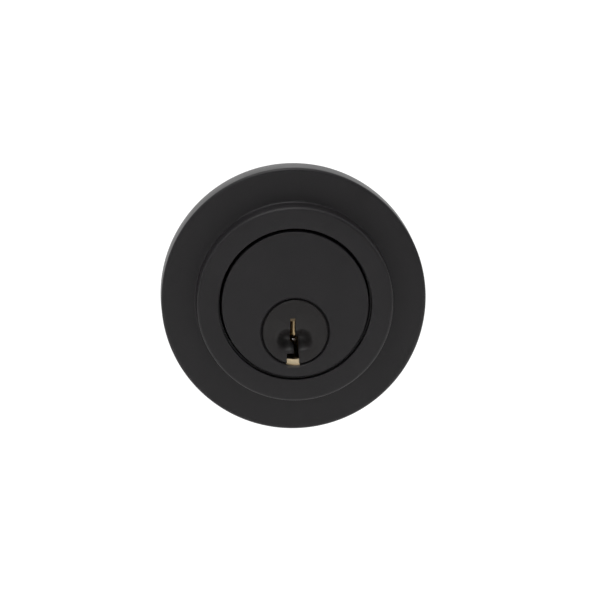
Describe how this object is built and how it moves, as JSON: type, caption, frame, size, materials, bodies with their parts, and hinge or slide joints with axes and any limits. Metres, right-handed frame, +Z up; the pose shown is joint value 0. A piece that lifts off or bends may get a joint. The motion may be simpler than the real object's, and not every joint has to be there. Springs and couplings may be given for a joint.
{
  "type": "deadbolt door lock",
  "caption": "Round-rose single-cylinder deadbolt for a 40 mm door: keyed matt black outside, thumbturn inside, 25.4 mm bolt between.",
  "frame": {"origin": "centre of the exterior rose's back face, on the cross bore axis at the door's outer face", "axes": "+Y through the door to the room, +X towards the door's edge and the way the bolt goes, +Z up"},
  "size_m": [0.09, 0.0812, 0.06],
  "materials": {
    "black_coat": "matt black powder coat",
    "cylinder_black": "matt black over turned brass",
    "plug_black": "matt black face over bright brass keyway",
    "brass": "machined brass",
    "hard_steel": "ground hardened steel",
    "zinc_steel": "bright zinc plate",
    "spring_steel": "drawn spring steel",
    "black_oxide": "black oxide",
    "rubber": "matt rubber",
    "nylon": "natural nylon"
  },
  "bodies": {
    "lock_body": {"exterior_rose": "black_coat", "rose_seal": "rubber", "guard_ring": "black_oxide", "cylinder_body": "cylinder_black", "chamber_cover": "cylinder_black", "torque_plate": "zinc_steel", "mounting_posts": "zinc_steel", "retaining_screws": "zinc_steel", "case_front": "zinc_steel", "case_rear": "zinc_steel", "case_rivets": "zinc_steel", "cam_spring": "spring_steel", "bolt_tube": "zinc_steel", "face_backplate": "zinc_steel", "faceplate": "black_coat", "faceplate_screws": "black_oxide", "mounting_plate": "zinc_steel", "through_bolts": "zinc_steel", "interior_rose": "black_coat", "rose_screws": "black_oxide", "turn_bushing": "nylon", "wave_washer": "spring_steel", "pin_spring_1": "spring_steel", "pin_spring_2": "spring_steel", "pin_spring_3": "spring_steel", "pin_spring_4": "spring_steel", "pin_spring_5": "spring_steel"},
    "plug": {"plug": "plug_black", "key_pins": "brass", "plug_clip": "spring_steel", "tailpiece_cap": "brass"},
    "tailpiece": {"tailpiece": "zinc_steel"},
    "cam": {"cam": "zinc_steel", "crank_pin": "hard_steel"},
    "bolt": {"bolt_head": "hard_steel", "bolt_tail": "zinc_steel", "tail_rivet": "zinc_steel"},
    "roller_pin": {"bolt_roller_pin": "hard_steel"},
    "thumbturn": {"thumbturn_knob": "black_coat", "thumbturn_spindle": "zinc_steel", "e_clip": "spring_steel"},
    "driver_1": {"driver_pin_1": "hard_steel"},
    "driver_2": {"driver_pin_2": "hard_steel"},
    "driver_3": {"driver_pin_3": "hard_steel"},
    "driver_4": {"driver_pin_4": "hard_steel"},
    "driver_5": {"driver_pin_5": "hard_steel"}
  },
  "joints": [
    {"name": "thumbturn_turn", "type": "hinge", "parent": "lock_body", "child": "thumbturn", "pos_m": [0, 0.05, -0.0063], "axis": [0, 1, 0], "range_deg": [0, 90]},
    {"name": "tailpiece_turn", "type": "hinge", "parent": "lock_body", "child": "tailpiece", "pos_m": [0, 0.03, -0.0063], "axis": [0, 1, 0], "range_deg": [0, 90]},
    {"name": "cam_turn", "type": "hinge", "parent": "lock_body", "child": "cam", "pos_m": [0, 0.02, -0.0063], "axis": [0, 1, 0], "range_deg": [0, 90]},
    {"name": "bolt_throw", "type": "slide", "parent": "lock_body", "child": "bolt", "axis": [1, 0, 0], "range_m": [0, 0.0254]},
    {"name": "roller_spin", "type": "hinge", "parent": "bolt", "child": "roller_pin", "pos_m": [0.04, 0.02, 0], "axis": [1, 0, 0], "continuous": true},
    {"name": "plug_turn", "type": "hinge", "parent": "lock_body", "child": "plug", "pos_m": [0, 0, -0.0063], "axis": [0, 1, 0], "range_deg": [-90, 90]},
    {"name": "driver_rise_1", "type": "slide", "parent": "lock_body", "child": "driver_1", "axis": [0, 0, 1], "range_m": [0, 0.003], "stiffness_N_per_m": 20, "springref_m": -0.004, "deforming": ["pin_spring_1"]},
    {"name": "driver_rise_2", "type": "slide", "parent": "lock_body", "child": "driver_2", "axis": [0, 0, 1], "range_m": [0, 0.003], "stiffness_N_per_m": 20, "springref_m": -0.004, "deforming": ["pin_spring_2"]},
    {"name": "driver_rise_3", "type": "slide", "parent": "lock_body", "child": "driver_3", "axis": [0, 0, 1], "range_m": [0, 0.003], "stiffness_N_per_m": 20, "springref_m": -0.004, "deforming": ["pin_spring_3"]},
    {"name": "driver_rise_4", "type": "slide", "parent": "lock_body", "child": "driver_4", "axis": [0, 0, 1], "range_m": [0, 0.003], "stiffness_N_per_m": 20, "springref_m": -0.004, "deforming": ["pin_spring_4"]},
    {"name": "driver_rise_5", "type": "slide", "parent": "lock_body", "child": "driver_5", "axis": [0, 0, 1], "range_m": [0, 0.003], "stiffness_N_per_m": 20, "springref_m": -0.004, "deforming": ["pin_spring_5"]}
  ],
  "couplings": [
    {"joint": "thumbturn_turn", "follows": "bolt_throw", "rad_per_m": 61.842},
    {"joint": "tailpiece_turn", "follows": "bolt_throw", "rad_per_m": 61.842},
    {"joint": "cam_turn", "follows": "bolt_throw", "rad_per_m": 61.842}
  ]
}
